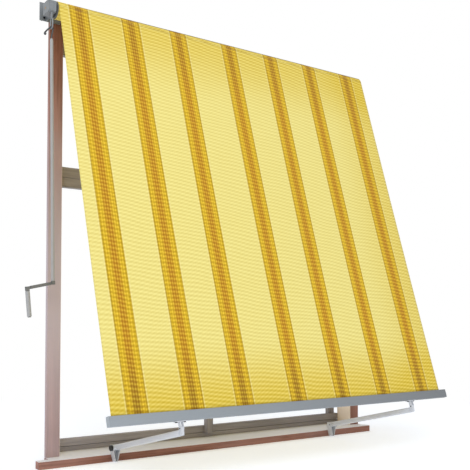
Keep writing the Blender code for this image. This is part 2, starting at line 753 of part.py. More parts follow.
def build_crank_arm(elbow):
    """The arm's own X axis runs from the elbow pin to the grip pin."""
    start = TONGUE_RADIUS + FORK_DEPTH / 2
    arm = bar("crank_arm", (start, 0, 0), (CRANK_REACH - start, 0, 0), ARM_TUBE_RADIUS, dark_plastic, elbow, 20)
    half = TONGUE_THICKNESS / 2
    for x, end in ((0, start + 0.002), (CRANK_REACH, CRANK_REACH - start - 0.002)):
        combine(arm, box("arm_neck", (min(x, end), -half, -TONGUE_RADIUS * 0.98), (max(x, end), half, TONGUE_RADIUS * 0.98),
                         dark_plastic, elbow), "UNION")
        combine(arm, tongue("arm_tongue", x, elbow, dark_plastic), "UNION")
        drill(arm, (x, -0.02, 0), (x, 0.02, 0), FOLD_PIN_RADIUS + RUNNING, elbow)


def build_grip(grip, spin):
    """The grip's own Z axis runs from the grip pin to the free end, downwards."""
    half_width, half_depth = FORK_WIDTH / 2, FORK_DEPTH / 2
    fork_end = FORK_ABOVE + 0.004
    rod = box("grip_rod", (-half_depth, -half_width, -fork_end), (half_depth, half_width, FORK_BELOW),
              dark_plastic, grip)
    slot = FORK_SLOT / 2
    combine(rod, box("grip_slot", (-half_depth - 0.01, -slot, -TONGUE_RADIUS - RUNNING),
                     (half_depth + 0.01, slot, FORK_BELOW + 0.01), dark_plastic, grip), "DIFFERENCE")
    sleeve_start = -fork_end - RUNNING
    sleeve_end = sleeve_start - GRIP_LENGTH
    button_end = sleeve_end - RUNNING - 0.003
    combine(rod, bar("grip_core", (0, 0, -fork_end + 0.002), (0, 0, button_end), GRIP_ROD_RADIUS,
                     dark_plastic, grip), "UNION")
    combine(rod, bar("grip_button", (0, 0, sleeve_end - RUNNING), (0, 0, button_end), GRIP_BUTTON,
                     dark_plastic, grip), "UNION")
    drill(rod, (0, -0.02, 0), (0, 0.02, 0), FOLD_PIN_RADIUS + HOLE_CLEARANCE, grip)
    bar("grip_pin", (0, -half_width, 0), (0, half_width, 0), FOLD_PIN_RADIUS, zinc, grip, 12)
    inner = GRIP_ROD_RADIUS + RUNNING
    edge = 0.002
    profile = [
        (GRIP_RADIUS - edge, sleeve_start),
        (GRIP_RADIUS, sleeve_start - edge),
        (GRIP_RADIUS, sleeve_end + edge),
        (GRIP_RADIUS - edge, sleeve_end),
        (inner, sleeve_end),
        (inner, sleeve_start),
    ]
    turned("crank_grip", profile, white_metal, spin, 24)


# Arms and their brackets


def bracket_outline(inset):
    """The sill bracket from the front: two ears that meet in a tip, inset by a wall where it is hollow."""
    top = ARM_PIVOT_Z + BRACKET_TOP_LIP
    wide = BRACKET_OUTER - inset
    tip = BRACKET_TIP_WIDTH / 2 - inset / 2
    waist = ARM_PIVOT_Z - BRACKET_WAIST
    bottom = GAP * 10 + inset
    if inset:
        top += 0.01
    return [(-wide, top), (-wide, waist), (-tip, bottom), (tip, bottom), (wide, waist), (wide, top)]


def build_sill_bracket(side, x, sill):
    outward = -1 if side == "left" else 1
    place = joint_frame(side + "_bracket_place", (x, 0, 0))
    back = -SILL_NOSE - GAP
    front = ARM_PIVOT_Y - BRACKET_FRONT_LIP
    bracket = section(side + "_sill_bracket", [bracket_outline(0)], front, back, white_metal, "Y", place)
    room = section(side + "_bracket_room", [bracket_outline(BRACKET_THICKNESS)], front - 0.01,
                   back - BRACKET_THICKNESS, white_metal, "Y", place)
    combine(bracket, room, "DIFFERENCE")
    bolt_end = BRACKET_OUTER + BRACKET_THICKNESS
    drill(bracket, (-0.05, ARM_PIVOT_Y, ARM_PIVOT_Z), (0.05, ARM_PIVOT_Y, ARM_PIVOT_Z),
          PIVOT_RADIUS + HOLE_CLEARANCE, place)
    bar(side + "_pivot_bolt", (-outward * bolt_end, ARM_PIVOT_Y, ARM_PIVOT_Z),
        (outward * BRACKET_OUTER, ARM_PIVOT_Y, ARM_PIVOT_Z), PIVOT_RADIUS, zinc, place, 16)
    cap_start = outward * (BRACKET_OUTER + GAP)
    cap_end = outward * (BRACKET_OUTER + GAP + CAP_THICKNESS)
    bar(side + "_pivot_cap", (cap_start, ARM_PIVOT_Y, ARM_PIVOT_Z), (cap_end, ARM_PIVOT_Y, ARM_PIVOT_Z),
        CAP_RADIUS, dark_plastic, place, 28)
    seat = back - BRACKET_THICKNESS
    z = SILL_THICKNESS * 0.6
    drill(bracket, (0, back - 0.02, z), (0, back + 0.02, z), SCREW_RADIUS + HOLE_CLEARANCE, place)
    drill(sill, (x, back - 0.01, z), (x, back + SILL_SCREW_LENGTH, z), SCREW_RADIUS + HOLE_CLEARANCE)
    screw_along_y(side + "_sill_screw", 0, seat, z, SILL_SCREW_LENGTH - 0.005, zinc, place)


def oval(height, width, inset=0.0):
    return rounded_rectangle(
        (-width / 2 + inset, -height / 2 + inset), (width / 2 - inset, height / 2 - inset), width / 2 - inset - 0.0002, 6
    )


def build_arm(side, arm):
    """The arm's own -Y axis runs along its tube from the sill pivot. The bar pin is a little above it."""
    tube_start = -ARM_TUBE_START
    tube_end = -(ARM_LENGTH - ARM_TUBE_STOP)
    outlines = [oval(ARM_HEIGHT, ARM_THICKNESS), oval(ARM_HEIGHT, ARM_THICKNESS, ARM_WALL)]
    section(side + "_arm_tube", outlines, tube_end, tube_start, white_metal, "Y", arm)
    plug = oval(ARM_HEIGHT, ARM_THICKNESS, ARM_WALL + GAP)
    half = KNUCKLE_WIDTH / 2
    knuckle = bar(side + "_arm_knuckle", (-half, 0, 0), (half, 0, 0), ARM_HEIGHT / 2, white_metal, arm, 28)
    combine(knuckle, section("knuckle_plug", [plug], tube_start - KNUCKLE_PLUG, -PIVOT_RADIUS, white_metal, "Y", arm),
            "UNION")
    combine(knuckle, section("knuckle_shoulder", [oval(ARM_HEIGHT, ARM_THICKNESS)], tube_start + GAP, -PIVOT_RADIUS,
                             white_metal, "Y", arm), "UNION")
    drill(knuckle, (-0.03, 0, 0), (0.03, 0, 0), PIVOT_RADIUS + RUNNING, arm)
    half = TIP_THICKNESS / 2
    pin_y = -ARM_LENGTH * math.cos(math.radians(ARM_TILT))
    tip = section(side + "_arm_tip", [plug], tube_end - GAP - 0.003, tube_end + KNUCKLE_PLUG, white_metal, "Y", arm)
    low = ARM_HEIGHT / 2 - ARM_WALL
    outline = [(tube_end - GAP, -low), (tube_end - GAP, low)]
    outline += arc((pin_y, ARM_PIN_RISE), TIP_RADIUS, 0, 180, 8)
    outline += [(pin_y - TIP_RADIUS, -low / 2), (pin_y - TIP_RADIUS / 2, -low)]
    combine(tip, section("tip_body", [outline], -half, half, white_metal, "X", arm), "UNION")
    drill(tip, (-0.03, pin_y, ARM_PIN_RISE), (0.03, pin_y, ARM_PIN_RISE), BAR_PIN_RADIUS + RUNNING, arm)


# Front bar


def bar_outline():
    """The bar's section, in its own (Y, Z): the cloth's slot opens upwards and widens for the hem rod."""
    base, top = BAR_DROP, BAR_DROP + BAR_HEIGHT
    half = BAR_DEPTH / 2
    hole = top - KEYHOLE_DEPTH
    turn = math.degrees(math.asin(SLOT_WIDTH / 2 / KEYHOLE_RADIUS))
    outline = [(SLOT_WIDTH / 2, top)]
    outline += arc((half - BAR_EDGE, top - BAR_EDGE), BAR_EDGE, 90, 0, 3)
    outline += arc((half - BAR_EDGE, base + BAR_EDGE), BAR_EDGE, 0, -90, 3)
    outline += arc((-half + BAR_EDGE, base + BAR_EDGE), BAR_EDGE, -90, -180, 3)
    outline += arc((-half + BAR_EDGE, top - BAR_EDGE), BAR_EDGE, 180, 90, 3)
    outline.append((-SLOT_WIDTH / 2, top))
    return outline + arc((0, hole), KEYHOLE_RADIUS, 90 + turn, 450 - turn, 12)


def build_front_bar(swing):
    low, high = BAR_CENTRE_X - BAR_LENGTH / 2, BAR_CENTRE_X + BAR_LENGTH / 2
    chamber_top = BAR_DROP + BAR_HEIGHT - KEYHOLE_DEPTH - KEYHOLE_RADIUS - BAR_WALL
    half = BAR_DEPTH / 2 - BAR_WALL
    chamber = rounded_rectangle((-half, BAR_DROP + BAR_WALL), (half, chamber_top), 0.001, 2)
    hollow = section("front_bar", [bar_outline(), chamber], low, high, zinc, "X", swing)
    full = rounded_rectangle((-BAR_DEPTH / 2, BAR_DROP), (BAR_DEPTH / 2, BAR_DROP + BAR_HEIGHT), BAR_EDGE, 3)
    section("bar_cap_left", [full], low - GAP - BAR_CAP, low - GAP, dark_grey, "X", swing)
    section("bar_cap_right", [full], high + GAP, high + GAP + BAR_CAP, dark_grey, "X", swing)
    hem_z = BAR_DROP + BAR_HEIGHT - KEYHOLE_DEPTH
    bar("hem_rod", (CLOTH_LEFT, 0, hem_z), (CLOTH_RIGHT, 0, hem_z), HEM_ROD_RADIUS, white_metal, swing, 12)
    return hollow


def build_bar_bracket(side, x, swing, hollow):
    half = BAR_BRACKET_LENGTH / 2
    deep = BAR_DEPTH / 2 - 0.001
    top = BAR_DROP - GAP
    bracket = box(side + "_bar_bracket", (x - half, -deep, top - PLATE_THICKNESS), (x + half, deep, top),
                  white_metal, swing)
    inner = TIP_THICKNESS / 2 + RUNNING
    outline = arc((0, 0), EAR_RADIUS, 180, 360, 10)
    outline += [(EAR_RADIUS, top - PLATE_THICKNESS / 2), (-EAR_RADIUS, top - PLATE_THICKNESS / 2)]
    for outward in (-1, 1):
        start, stop = x + outward * inner, x + outward * (inner + EAR_THICKNESS)
        combine(bracket, section("bracket_ear", [outline], min(start, stop), max(start, stop), white_metal, "X", swing),
                "UNION")
    reach = inner + EAR_THICKNESS
    drill(bracket, (x - reach - 0.01, 0, 0), (x + reach + 0.01, 0, 0), BAR_PIN_RADIUS + HOLE_CLEARANCE, swing)
    bar(side + "_bar_pin", (x - reach - 0.002, 0, 0), (x + reach + 0.002, 0, 0), BAR_PIN_RADIUS, dark_plastic, swing, 16)
    seat = top - PLATE_THICKNESS - GAP
    for end, offset in (("left", -BAR_SCREW_SPACING / 2), ("right", BAR_SCREW_SPACING / 2)):
        place = x + offset
        drill(bracket, (place, 0, top - 0.01), (place, 0, top + 0.002), SCREW_RADIUS + HOLE_CLEARANCE, swing)
        drill(hollow, (place, 0, top - 0.01), (place, 0, top + 0.008), SCREW_RADIUS + HOLE_CLEARANCE, swing)
        screw = bar(f"{side}_bar_screw_{end}", (place, 0, seat - SCREW_HEAD_HEIGHT), (place, 0, seat),
                    SCREW_HEAD_RADIUS, dark_plastic, swing, 16)
        combine(screw, bar("bar_screw_shank", (place, 0, seat - GAP), (place, 0, seat + BAR_SCREW_LENGTH),
                           SCREW_RADIUS, dark_plastic, swing, 12), "UNION")


def dark_grey(name):
    return material(name, (0.18, 0.19, 0.20), 0.5)


def cloth_look(name):
    return material(name, (0.85, 0.72, 0.22), 0.85)


def build_cloth(hang):
    """The cloth's own -Z axis runs down from the roller to the bar. It lies in front of the axis."""
    distance = math.hypot(ROLLER_Y - BAR_PIVOT_Y, ROLLER_Z - BAR_PIVOT_Z)
    along = math.sqrt(distance ** 2 - CLOTH_OFFSET ** 2)
    hem_z = BAR_DROP + BAR_HEIGHT - KEYHOLE_DEPTH
    bottom = -(along - hem_z - HEM_ROD_RADIUS - GAP)
    front = -CLOTH_OFFSET
    half = CLOTH_THICKNESS / 2
    box("fabric_sheet", (CLOTH_LEFT, front - half, bottom), (CLOTH_RIGHT, front + half, 0), cloth_look, hang)


def main():
    global parts, cutters
    clear_scene()
    parts = make_collection("retractable_awning")
    cutters = make_collection("cutters")

    left_jamb, right_jamb, sill = build_timber_frame()
    build_inner_frame()
    plate, bracket, lug_x = build_wall_plates()
    build_wall_screws(plate, bracket, left_jamb, right_jamb, lug_x)

    build_gear_case()
    roller = joint_frame("roller_axis", (0, ROLLER_Y, ROLLER_Z))
    build_worm_wheel(roller)
    build_roller(roller)

    build_worm(joint_frame("worm_axis", (GEAR_X, WORM_Y, ROLLER_Z)))
    crank = joint_frame("crank_axis", hanging_place(ROLLER_Z), (0, -CRANK_LEAN, 0))
    tube_top = build_hook(crank)
    build_crank_rod(crank, tube_top)
    elbow_place = hanging_place(ELBOW_Z)
    elbow = joint_frame("elbow_axis", elbow_place, (0, 180 - CRANK_DROOP, 0))
    build_crank_arm(elbow)
    droop = math.radians(CRANK_DROOP)
    grip_place = elbow_place + Vector((-CRANK_REACH * math.cos(droop), 0, -CRANK_REACH * math.sin(droop)))
    grip = joint_frame("grip_axis", grip_place, (0, -GRIP_LEAN, 0))
    spin = joint_frame("grip_spin_axis", grip_place, (0, -GRIP_LEAN, 0))
    build_grip(grip, spin)

    bar_swing = joint_frame("bar_axis", (0, BAR_PIVOT_Y, BAR_PIVOT_Z), (-HANG, 0, 0))
    hollow = build_front_bar(bar_swing)
    for side, x in (("left", ARM_CENTRE_X - ARM_SPACING / 2), ("right", ARM_CENTRE_X + ARM_SPACING / 2)):
        build_sill_bracket(side, x, sill)
        arm = joint_frame(side + "_arm_axis", (x, ARM_PIVOT_Y, ARM_PIVOT_Z), (ARM_TILT - ARM_REST_ANGLE, 0, 0))
        build_arm(side, arm)
        build_bar_bracket(side, x, bar_swing, hollow)

    hang = joint_frame("cloth_axis", (0, ROLLER_Y, ROLLER_Z), (-HANG, 0, 0))
    build_cloth(hang)


main()
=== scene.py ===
"""Finishes the drop-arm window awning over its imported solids: cloth, timber, metal, stage and camera."""

import json
import math

import bmesh
import bpy
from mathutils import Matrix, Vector

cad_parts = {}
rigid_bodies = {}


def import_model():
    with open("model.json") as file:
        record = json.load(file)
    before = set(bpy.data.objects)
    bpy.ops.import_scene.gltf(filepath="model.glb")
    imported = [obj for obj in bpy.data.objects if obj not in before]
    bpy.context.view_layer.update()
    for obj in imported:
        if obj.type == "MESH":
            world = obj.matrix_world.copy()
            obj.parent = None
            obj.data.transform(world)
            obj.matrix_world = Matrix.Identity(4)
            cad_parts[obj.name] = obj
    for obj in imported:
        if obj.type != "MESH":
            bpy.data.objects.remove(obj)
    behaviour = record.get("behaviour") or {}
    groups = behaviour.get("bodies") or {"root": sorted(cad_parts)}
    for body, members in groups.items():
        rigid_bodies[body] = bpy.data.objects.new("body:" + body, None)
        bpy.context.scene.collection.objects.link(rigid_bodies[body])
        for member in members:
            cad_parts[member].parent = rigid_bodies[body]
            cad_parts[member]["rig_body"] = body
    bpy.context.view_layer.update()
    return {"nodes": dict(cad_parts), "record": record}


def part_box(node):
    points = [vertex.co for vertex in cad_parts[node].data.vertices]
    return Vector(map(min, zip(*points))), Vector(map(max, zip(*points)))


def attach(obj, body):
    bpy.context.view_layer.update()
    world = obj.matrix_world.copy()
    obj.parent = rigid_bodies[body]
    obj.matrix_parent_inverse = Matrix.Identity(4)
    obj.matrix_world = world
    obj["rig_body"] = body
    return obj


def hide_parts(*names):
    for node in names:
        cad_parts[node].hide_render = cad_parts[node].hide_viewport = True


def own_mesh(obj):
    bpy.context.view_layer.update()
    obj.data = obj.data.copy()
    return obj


bl_info = {
    "name": "Window Awning",
    "version": (1, 0, 0),
    "blender": (4, 5, 0),
    "location": "View3D > Sidebar > Awning",
    "description": "Cloth, timber and metal finishes for a drop-arm window awning",
    "category": "Object",
}

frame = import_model()

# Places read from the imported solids
SHEET_LOW, SHEET_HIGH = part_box("fabric_sheet")
ROLL_LOW, ROLL_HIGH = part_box("fabric_roll")
BAR_LOW, BAR_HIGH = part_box("front_bar")
SILL_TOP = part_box("sill_board")[1].z
JAMB_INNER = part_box("right_jamb")[0].x
CLOTH_MAP = "cloth_map"
WHITE = (1.0, 1.0, 1.0, 1.0)
WHOLE_TURN = 2 * math.pi

# Vertices closer than this are merged
MERGE_DISTANCE = 0.000002

# Faces that meet at less than the flat angle become one, and edges over the corner angle are rounded
FLAT_ANGLE = math.radians(0.5)
CORNER_ANGLE = math.radians(40)

# Edges over this angle look sharp
SMOOTH_ANGLE = math.radians(32)

# A screen's colour curve: a straight foot up to the knee, and a power above it
SCREEN_KNEE = 0.04045
SCREEN_FOOT = 12.92
SCREEN_SHIFT = 0.055
SCREEN_POWER = 2.4


def from_screen(red, green, blue):
    """A screen colour of 0 to 255 for each part, as the linear colour that shaders use."""
    linear = []
    for part in (red, green, blue):
        share = part / 255
        if share <= SCREEN_KNEE:
            linear.append(share / SCREEN_FOOT)
        else:
            linear.append(((share + SCREEN_SHIFT) / (1 + SCREEN_SHIFT)) ** SCREEN_POWER)
    return (*linear, 1.0)


def colour_setting(name, description, screen):
    colour = from_screen(*screen)
    return bpy.props.FloatVectorProperty(
        name=name, description=description, subtype="COLOR", size=4, min=0.0, max=1.0, default=colour
    )


def number_setting(name, description, value, **options):
    return bpy.props.FloatProperty(name=name, description=description, default=value, min=0.0, **options)


def length_setting(name, description, metres):
    return number_setting(name, description, metres, unit="LENGTH", subtype="DISTANCE")


class AwningClothSettings(bpy.types.PropertyGroup):
    """Sizes and colours of the striped cloth."""

    ground: colour_setting("Ground", "Yellow between the stripes", (240, 227, 134))
    # Deep ground: painted shade near the roller, the bar and the far side, and random blotches
    deep_ground: colour_setting("Deep ground", "Ground near the roller and the bar", (229, 200, 48))
    gold: colour_setting("Gold", "Sides of each stripe", (214, 176, 22))
    brown: colour_setting("Brown", "Middle of each stripe", (168, 94, 0))
    # Dark brown: painted shade on the stripes' middles near the bar and the roll
    dark_brown: colour_setting("Dark brown", "Middle of each stripe near the bar", (104, 58, 2))
    thread: colour_setting("Thread", "Pale thread beside each stripe", (248, 236, 160))
    # Lit gold: painted highlight on the woven checks of the stripes
    lit_gold: colour_setting("Lit gold", "Bright checks in the stripes", (255, 218, 72))
    rim: colour_setting("Rim", "Olive edge of each stripe", (138, 116, 10))
    lit_rib: colour_setting("Lit rib", "Lit side of the ribs", (255, 250, 190))
    dim_rib: colour_setting("Dim rib", "Dim side of the ribs", (140, 96, 8))
    # Lap: painted shade in a band along the top of the roll
    lap: colour_setting("Lap", "Weathered band along the top of the roll", (86, 66, 26))
    stripe_width: length_setting("Stripe width", "Width of a whole stripe", 0.102)
    core_width: length_setting("Core width", "Width of a stripe's brown middle", 0.046)
    thread_width: length_setting("Thread width", "Width of the pale thread", 0.005)
    rib_pitch: length_setting("Rib pitch", "Distance between the woven ribs", 0.0205)
    rib_height: length_setting("Rib height", "Height of the woven ribs", 0.0005)
    sag: length_setting("Sag", "Sag of the cloth between the roller and the bar", 0.005)
    ripple: length_setting("Ripple", "Height of the shallow waves along the cloth", 0.0015)
    thread_pitch: length_setting("Thread pitch", "Distance between the woven lines along the cloth", 0.0125)
    lap_height: length_setting("Lap height", "Way up around the roll to its band", 0.031)
    thickness: length_setting("Thickness", "Thickness of the cloth", 0.0006)


class AwningTimberSettings(bpy.types.PropertyGroup):
    """Colours and edges of the timber."""

    stain: colour_setting("Stain", "Brown stain", (170, 120, 106))
    dark_stain: colour_setting("Dark stain", "Stain in the grain", (116, 74, 56))
    # Bleached: worn patches, and painted light on the lower part of the jambs
    bleached: colour_setting("Bleached", "Stain bleached by the sun", (194, 184, 192))
    # Planed: painted light on the jambs' inner faces
    planed: colour_setting("Planed", "Pale inner faces of the jambs", (255, 240, 224))
    # Sill top: painted light on the top of the sill
    sill_top: colour_setting("Sill top", "Pale top of the sill", (240, 243, 250))
    inner_paint: colour_setting("Inner paint", "Grey-brown paint of the inner frame", (164, 158, 159))
    inner_shade: colour_setting("Inner shade", "Grain in the inner frame", (126, 121, 122))
    edge: length_setting("Edge", "Rounding of the timber's edges", 0.003)


class AwningMetalSettings(bpy.types.PropertyGroup):
    """Colours and edges of the metal and plastic pieces."""

    zinc: colour_setting("Zinc", "Gear, wall plates and tubes", (130, 135, 139))
    white: colour_setting("White", "Powder coat of the arms and brackets", (202, 205, 211))
    bar: colour_setting("Bar", "Front bar at the crank's end", (157, 165, 172))
    # Far bar: painted reflection, darker towards the bar's far end
    far_bar: colour_setting("Far bar", "Front bar at its far end", (120, 124, 128))
    dark: colour_setting("Dark", "Hook of the crank", (74, 76, 79))
    joint: colour_setting("Joint", "Folding joints and arm of the crank", (112, 114, 115))
    black: colour_setting("Black", "Caps and screws", (26, 26, 28))
    grip: colour_setting("Grip", "Grip sleeve and rod", (164, 165, 167))
    bronze: colour_setting("Bronze", "Worm wheel", (168, 132, 84))
    edge: length_setting("Edge", "Rounding of metal edges", 0.0006)


class AwningStageSettings(bpy.types.PropertyGroup):
    """Floor, light and camera."""

    floor: colour_setting("Floor", "Pale floor", (240, 246, 255))
    floor_radius: length_setting("Floor radius", "Reach of the floor", 30.0)
    floor_glow: number_setting("Floor glow", "Lifts the floor to white", 0.34)
    near_floor: length_setting("Near floor", "Reach of the floor that shows shadows", 1.6)
    far_floor: length_setting("Far floor", "Where the floor has turned white", 3.2)
    key_power: number_setting("Key power", "Power of the large lamp", 98.0, subtype="POWER", unit="POWER")
    side_share: number_setting("Side share", "Power of the side lamp, as a share of the key's", 0.08)
    sky: number_setting("Sky", "Strength of the even light", 0.74)


class Socket:
    """A value inside a material, so that shader maths reads as plain arithmetic."""

    def __init__(self, maker, socket):
        self.maker = maker
        self.socket = socket

    def maths(self, operation, first, second=0.0):
        return self.maker.node("ShaderNodeMath", {"operation": operation}, {0: first, 1: second})

    def __add__(self, other):
        return self.maths("ADD", self, other)

    def __sub__(self, other):
        return self.maths("SUBTRACT", self, other)

    def __mul__(self, other):
        return self.maths("MULTIPLY", self, other)

    def __truediv__(self, other):
        return self.maths("DIVIDE", self, other)

    def __rsub__(self, other):
        return self.maths("SUBTRACT", other, self)

    def __abs__(self):
        return self.maths("ABSOLUTE", self)

    __radd__ = __add__

    def sine(self):
        return self.maths("SINE", self)

    def least(self, other):
        return self.maths("MINIMUM", self, other)

    def fade(self, start, end):
        """0 at start and 1 at end, smoothly."""
        return self.maker.node(
            "ShaderNodeMapRange",
            {"interpolation_type": "SMOOTHSTEP"},
            {"Value": self, "From Min": start, "From Max": end, "To Min": 0.0, "To Max": 1.0},
        )


class Shader:
    """A node tree. Every node in it is added by one method."""

    def __init__(self, tree):
        self.tree = tree

    def node(self, kind, settings=None, inputs=None, output=0):
        made = self.tree.nodes.new(kind)
        for key, value in (settings or {}).items():
            setattr(made, key, value)
        for key, value in (inputs or {}).items():
            self.feed(made.inputs[key], value)
        return Socket(self, made.outputs[output])

    def feed(self, socket, value):
        if isinstance(value, Socket):
            self.tree.links.new(value.socket, socket)
        else:
            socket.default_value = value

    def outputs(self, kind, inputs=None):
        """All outputs of a new node, by name."""
        made = self.node(kind, None, inputs).socket.node
        return {output.name: Socket(self, output) for output in made.outputs}


class Finish(Shader):
    """One material around the surface shader that Blender gives it."""

    def __init__(self, name):
        self.material = bpy.data.materials.new(name)
        self.material.use_nodes = True
        super().__init__(self.material.node_tree)
        self.surface = self.tree.nodes["Principled BSDF"]

    def place(self, scale=(1.0, 1.0, 1.0)):
        """Object coordinates, scaled along each axis."""
        coordinates = self.node("ShaderNodeTexCoord", None, None, "Object")
        return self.node("ShaderNodeMapping", None, {"Vector": coordinates, "Scale": scale})

    def axes(self, vector):
        """The X, Y and Z parts of a vector."""
        return self.outputs("ShaderNodeSeparateXYZ", {"Vector": vector}).values()

    def noise(self, vector, scale, detail, roughness=0.5):
        inputs = {"Vector": vector, "Scale": scale, "Detail": detail, "Roughness": roughness}
        return self.node("ShaderNodeTexNoise", None, inputs)

    def mix(self, share, first, second):
        """first where share is 0 and second where it is 1."""
        return self.node("ShaderNodeMix", {"data_type": "RGBA"}, {0: share, 6: first, 7: second}, 2)

    def emboss(self, height, distance, strength):
        inputs = {"Height": height, "Distance": distance, "Strength": strength}
        self.feed(self.surface.inputs["Normal"], self.node("ShaderNodeBump", None, inputs, "Normal"))

    def set(self, **inputs):
        for key, value in inputs.items():
            self.feed(self.surface.inputs[key.replace("_", " ")], value)
        return self.material


# Centres of the stripes in metres from the cloth's left edge, at the roller and at the bar
STRIPES = (
    (0.100, 0.124),
    (0.380, 0.401),
    (0.659, 0.672),
    (0.984, 0.991),
    (1.274, 1.277),
    (1.562, 1.567),
    (1.862, 1.862),
)
CLOTH_LENGTH = (SHEET_HIGH - SHEET_LOW).yz.length
CLOTH_WIDTH = SHEET_HIGH.x - SHEET_LOW.x

# How fine the ribs' wandering and the blotches are
WANDER_SCALE = 2.6
BLOTCH_SCALE = 9.0

# How the ribs slant and wander, and how the finer ribs cross them
RIB_SLANT = -0.11
RIB_WANDER = 0.05
CROSS_STEEPNESS = 0.6
CROSS_SLANT = 0.35
CROSS_WANDER = 0.03
CROSS_PITCH = 0.47

# How much each kind of rib counts in the ground, and ribs and threads in the painted highlight on the
# stripes' woven checks
RIB_WEIGHT = 0.34
CROSS_WEIGHT = 0.18
CHECK_RIB_WEIGHT = 0.24
CHECK_THREAD_WEIGHT = 0.46
HALF_WAY = 0.5

# Reach of the painted shade on the ground from the bar, the roll and the far side, in metres, and its depth
# there
BAR_REACH = 0.34
BAR_DEPTH = 0.90
ROLL_REACH = 0.42
ROLL_DEPTH = 0.70
FAR_REACH = 0.40
FAR_DEPTH = 0.50
BLOTCH_DEPTH = 0.10

# Start and end of a stripe's edge, in metres from its half width
STRIPE_EDGE = (-0.004, 0.002)

# Start and end of the fade around the brown middle, in shares of the middle's half width
CORE_EDGE = (0.35, 1.30)

# How much of the painted shade on the brown middles shows at the roll, next to all of it at the bar
ROLL_BROWN = 0.55

# Width of a stripe's olive rim, in thread widths
RIM_WIDTH = 1.4

# How strongly each colour covers the ones below it
THREAD_COVER = 0.55
RIM_COVER = 0.45
LIT_GOLD_COVER = 0.62
LIT_RIB_COVER = 0.19
DIM_RIB_COVER = 0.22
ROLL_TOP_SHADE_COVER = 0.85

# The roll's band of painted shade: its start and end around the roll, in lap heights, and its start along
# it, in metres
ROLL_TOP_SHADE_START = (-2.0, -1.85)
ROLL_TOP_SHADE_END = (-1.15, -1.0)
ROLL_TOP_SHADE_ACROSS = (0.05, 0.30)


def stripe_distance(across, down):
    """Distance to the middle of the nearest stripe."""
    nearest = None
    for top, bottom in STRIPES:
        distance = abs(across - (down * ((bottom - top) / CLOTH_LENGTH) + top))
        nearest = distance if nearest is None else nearest.least(distance)
    return nearest


def cloth_finish(name):
    """Woven cloth with seven broad stripes and shallow ribs across it."""
    cloth = bpy.context.scene.awning_cloth
    finish = Finish(name)
    place = finish.node("ShaderNodeUVMap", {"uv_map": CLOTH_MAP}, None, "UV")
    across, down, _ = finish.axes(place)
    distance = stripe_distance(across, down)
    half = cloth.stripe_width / 2
    core = cloth.core_width / 2

    # Weave
    warp = finish.noise(place, WANDER_SCALE, 2.0)
    rib_turns = (down + across * RIB_SLANT + warp * RIB_WANDER) / cloth.rib_pitch
    cross_way = down * CROSS_STEEPNESS + across * CROSS_SLANT + warp * CROSS_WANDER
    cross_turns = cross_way / (cloth.rib_pitch * CROSS_PITCH)
    thread_turns = across / cloth.thread_pitch
    ribs = (rib_turns * WHOLE_TURN).sine()
    cross_ribs = (cross_turns * WHOLE_TURN).sine()
    threads = (thread_turns * WHOLE_TURN).sine()
    blotch = finish.noise(place, BLOTCH_SCALE, 2.0)
    weave = ribs * RIB_WEIGHT + cross_ribs * CROSS_WEIGHT + HALF_WAY

    # Colours: painted shade at the roll, the bar and the far side, and random blotches
    near_bar = down.fade(CLOTH_LENGTH - BAR_REACH, CLOTH_LENGTH)
    near_roll = 1.0 - down.fade(0.0, ROLL_REACH)
    far_side = across.fade(CLOTH_WIDTH - FAR_REACH, CLOTH_WIDTH)
    shade_and_blotch = near_bar * BAR_DEPTH + near_roll * ROLL_DEPTH + far_side * FAR_DEPTH + blotch * BLOTCH_DEPTH
    shade_and_blotch = shade_and_blotch.least(1.0)
    ground = finish.mix(shade_and_blotch, cloth.ground[:], cloth.deep_ground[:])
    stripe = 1.0 - distance.fade(half + STRIPE_EDGE[0], half + STRIPE_EDGE[1])
    middle = 1.0 - distance.fade(core * CORE_EDGE[0], core * CORE_EDGE[1])
    # Painted shade on the brown middles near the bar and the roll
    brown_shade = (near_bar + near_roll * ROLL_BROWN).least(1.0)
    brown = finish.mix(brown_shade, cloth.brown[:], cloth.dark_brown[:])
    woven = finish.mix((middle * (0.86 + threads * 0.14)).least(1.0), cloth.gold[:], brown)
    colour = finish.mix(stripe, ground, woven)
    line = 1.0 - abs(distance - half - cloth.thread_width * 0.5).fade(0.0, cloth.thread_width)
    colour = finish.mix(line * THREAD_COVER, colour, cloth.thread[:])
    # Painted highlight on the woven checks of the stripes
    checks = ribs * CHECK_RIB_WEIGHT + threads * CHECK_THREAD_WEIGHT + HALF_WAY
    colour = finish.mix(checks * stripe * (LIT_GOLD_COVER - middle * 0.12), colour, cloth.lit_gold[:])
    rim = 1.0 - abs(distance - half + cloth.thread_width).fade(0.0, cloth.thread_width * RIM_WIDTH)
    colour = finish.mix(rim * RIM_COVER, colour, cloth.rim[:])
    colour = finish.mix(weave * (1.0 - stripe) * LIT_RIB_COVER, colour, cloth.lit_rib[:])
    dim = (1.0 - weave) * (stripe * 0.16 + shade_and_blotch * 0.16 + DIM_RIB_COVER)
    colour = finish.mix(dim, colour, cloth.dim_rib[:])

    # Painted shade in a band along the top of the roll, where the way down from the roll's front is below
    # zero
    band_start = down.fade(*(cloth.lap_height * share for share in ROLL_TOP_SHADE_START))
    band_end = 1.0 - down.fade(*(cloth.lap_height * share for share in ROLL_TOP_SHADE_END))
    band = band_end * across.fade(*ROLL_TOP_SHADE_ACROSS) * band_start
    colour = finish.mix(band * ROLL_TOP_SHADE_COVER, colour, cloth.lap[:])
    finish.emboss(ribs * 0.6 + cross_ribs * 0.25 + threads * 0.12, cloth.rib_height, 0.7)
    finish.set(Sheen_Weight=0.08, Specular_IOR_Level=0.2)
    return finish.set(Base_Color=colour, Roughness=0.80 + ribs * 0.05)


